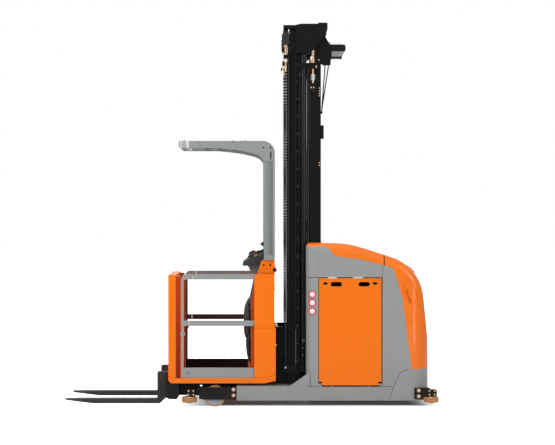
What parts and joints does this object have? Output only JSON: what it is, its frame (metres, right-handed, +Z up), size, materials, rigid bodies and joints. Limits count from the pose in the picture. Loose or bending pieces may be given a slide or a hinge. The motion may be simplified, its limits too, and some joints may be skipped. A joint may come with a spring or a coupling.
{
  "type": "order picker truck",
  "caption": "Man-up order picker truck: rising cab with guard roof and forks on a two-stage chain mast, electric chassis with load legs, side guide rollers and steered drive wheel.",
  "frame": {"origin": "centre of the truck's box at floor level", "axes": "+X towards the drive end, forks point to -X, +Y across to the truck's left, +Z up"},
  "size_m": [3.226, 1.078, 3.312],
  "materials": {
    "orange_paint": "gloss",
    "grey_paint": "satin",
    "black_paint": "satin",
    "fork_steel": "satin",
    "steel": "satin",
    "chrome_rod": "polished",
    "gold_steel": "satin",
    "chain_steel": "oiled",
    "wheel_pu": "matt",
    "wheel_hub": "painted",
    "black_plastic": "matt",
    "grey_plastic": "matt",
    "mat_rubber": "matt",
    "pad_foam": "matt",
    "lens": "frosted",
    "window": "clear",
    "battery_case": "matt"
  },
  "bodies": {
    "chassis": {"chassis_frame": "grey_paint", "leg_wheel_housings": "black_paint", "load_wheel_axles": "steel", "guide_roller_brackets": "black_paint", "body_panels": "grey_paint", "rear_base": "grey_paint", "top_cover": "orange_paint", "rear_hood": "orange_paint", "rear_lamp": "black_plastic", "battery": "battery_case", "outer_mast": "black_paint", "lift_cylinder_barrels": "black_paint", "rear_chain_anchors": "gold_steel", "chain_anchor_run": "chain_steel", "mast_cables": "mat_rubber"},
    "battery_door_left": {"battery_door_left": "orange_paint"},
    "battery_door_right": {"battery_door_right": "orange_paint"},
    "drive_unit": {"drive_turntable": "black_paint"},
    "drive_wheel": {"drive_wheel_hub": "wheel_hub", "drive_wheel_tyre": "wheel_pu"},
    "load_wheel_left": {"load_wheel_hub_left": "wheel_hub", "load_wheel_tyre_left": "wheel_pu"},
    "load_wheel_right": {"load_wheel_hub_right": "wheel_hub", "load_wheel_tyre_right": "wheel_pu"},
    "guide_roller_front_left": {"guide_roller_front_left": "wheel_pu"},
    "guide_roller_front_right": {"guide_roller_front_right": "wheel_pu"},
    "guide_roller_rear_left": {"guide_roller_rear_left": "wheel_pu"},
    "guide_roller_rear_right": {"guide_roller_rear_right": "wheel_pu"},
    "mast_inner": {"inner_mast": "black_paint", "mast_head": "black_paint", "lift_cylinder_rods": "chrome_rod", "head_pulleys": "steel", "front_chains": "chain_steel", "lifting_chains": "chain_steel", "chain_anchors": "gold_steel", "mast_lamp": "black_plastic", "mast_lamp_lens": "lens"},
    "cab": {"platform": "orange_paint", "floor_mat": "mat_rubber", "load_side_wall": "orange_paint", "mast_side_panels": "orange_paint", "mast_cabinet": "orange_paint", "knee_pad": "pad_foam", "console": "black_plastic", "console_pedestal": "grey_plastic", "display": "black_plastic", "guard_gussets": "orange_paint", "guard_frame": "grey_paint", "guard_front": "grey_paint", "cab_window": "window", "barrier_frames": "grey_paint", "cab_carriage": "black_paint", "fork_carriage": "black_paint"},
    "top_rail_left": {"top_rail_left": "grey_paint"},
    "top_rail_right": {"top_rail_right": "grey_paint"},
    "mid_rail_left": {"mid_rail_left": "grey_paint"},
    "mid_rail_right": {"mid_rail_right": "grey_paint"},
    "steering_knob": {"steering_knob": "black_plastic"},
    "fork_left": {"fork_left": "fork_steel"},
    "fork_right": {"fork_right": "fork_steel"}
  },
  "joints": [
    {"name": "mast_lift", "type": "slide", "parent": "chassis", "child": "mast_inner", "axis": [0, 0, 1], "range_m": [0, 2.2], "deforming": ["chain_anchor_run", "mast_cables"]},
    {"name": "cab_lift", "type": "slide", "parent": "mast_inner", "child": "cab", "axis": [0, 0, 1], "range_m": [0, 2.2], "deforming": ["front_chains", "lifting_chains"]},
    {"name": "load_wheel_left_spin", "type": "hinge", "parent": "chassis", "child": "load_wheel_left", "pos_m": [-0.309, 0.42, 0.09], "axis": [0, 1, 0], "continuous": true},
    {"name": "load_wheel_right_spin", "type": "hinge", "parent": "chassis", "child": "load_wheel_right", "pos_m": [-0.309, -0.42, 0.09], "axis": [0, 1, 0], "continuous": true},
    {"name": "drive_steer", "type": "hinge", "parent": "chassis", "child": "drive_unit", "pos_m": [1.32, 0, 0.4], "axis": [0, 0, 1], "range_deg": [-90, 90]},
    {"name": "drive_wheel_spin", "type": "hinge", "parent": "drive_unit", "child": "drive_wheel", "pos_m": [1.32, 0, 0.175], "axis": [0, 1, 0], "continuous": true},
    {"name": "guide_front_left_spin", "type": "hinge", "parent": "chassis", "child": "guide_roller_front_left", "pos_m": [-0.529, 0.475, 0.064], "axis": [0, 0, 1], "continuous": true},
    {"name": "guide_front_right_spin", "type": "hinge", "parent": "chassis", "child": "guide_roller_front_right", "pos_m": [-0.529, -0.475, 0.064], "axis": [0, 0, 1], "continuous": true},
    {"name": "guide_rear_left_spin", "type": "hinge", "parent": "chassis", "child": "guide_roller_rear_left", "pos_m": [1.549, 0.475, 0.064], "axis": [0, 0, 1], "continuous": true},
    {"name": "guide_rear_right_spin", "type": "hinge", "parent": "chassis", "child": "guide_roller_rear_right", "pos_m": [1.549, -0.475, 0.064], "axis": [0, 0, 1], "continuous": true},
    {"name": "battery_door_left_tilt", "type": "hinge", "parent": "chassis", "child": "battery_door_left", "pos_m": [0.8525, 0.48, 0.192], "axis": [-1, 0, 0], "range_deg": [0, 25]},
    {"name": "battery_door_right_tilt", "type": "hinge", "parent": "chassis", "child": "battery_door_right", "pos_m": [0.8525, -0.48, 0.192], "axis": [1, 0, 0], "range_deg": [0, 25]},
    {"name": "top_rail_left_lift", "type": "hinge", "parent": "cab", "child": "top_rail_left", "pos_m": [0.112, 0.4335, 1.1153], "axis": [0, 1, 0], "range_deg": [0, 85]},
    {"name": "top_rail_right_lift", "type": "hinge", "parent": "cab", "child": "top_rail_right", "pos_m": [0.112, -0.4335, 1.1153], "axis": [0, 1, 0], "range_deg": [0, 85]},
    {"name": "mid_rail_left_lift", "type": "hinge", "parent": "cab", "child": "mid_rail_left", "pos_m": [0.052, 0.4335, 0.7158], "axis": [0, 1, 0], "range_deg": [0, 85]},
    {"name": "mid_rail_right_lift", "type": "hinge", "parent": "cab", "child": "mid_rail_right", "pos_m": [0.052, -0.4335, 0.7158], "axis": [0, 1, 0], "range_deg": [0, 85]},
    {"name": "steering_knob_turn", "type": "hinge", "parent": "cab", "child": "steering_knob", "pos_m": [0.0213, 0.17, 1.2839], "axis": [-0.4638, 0, 0.8859], "continuous": true},
    {"name": "fork_left_shift", "type": "slide", "parent": "cab", "child": "fork_left", "axis": [0, 1, 0], "range_m": [-0.15, 0.08]},
    {"name": "fork_right_shift", "type": "slide", "parent": "cab", "child": "fork_right", "axis": [0, 1, 0], "range_m": [-0.08, 0.15]}
  ],
  "couplings": [
    {"joint": "cab_lift", "follows": "mast_lift", "ratio": 1},
    {"joint": "mid_rail_left_lift", "follows": "top_rail_left_lift", "ratio": 1},
    {"joint": "mid_rail_right_lift", "follows": "top_rail_right_lift", "ratio": 1}
  ]
}
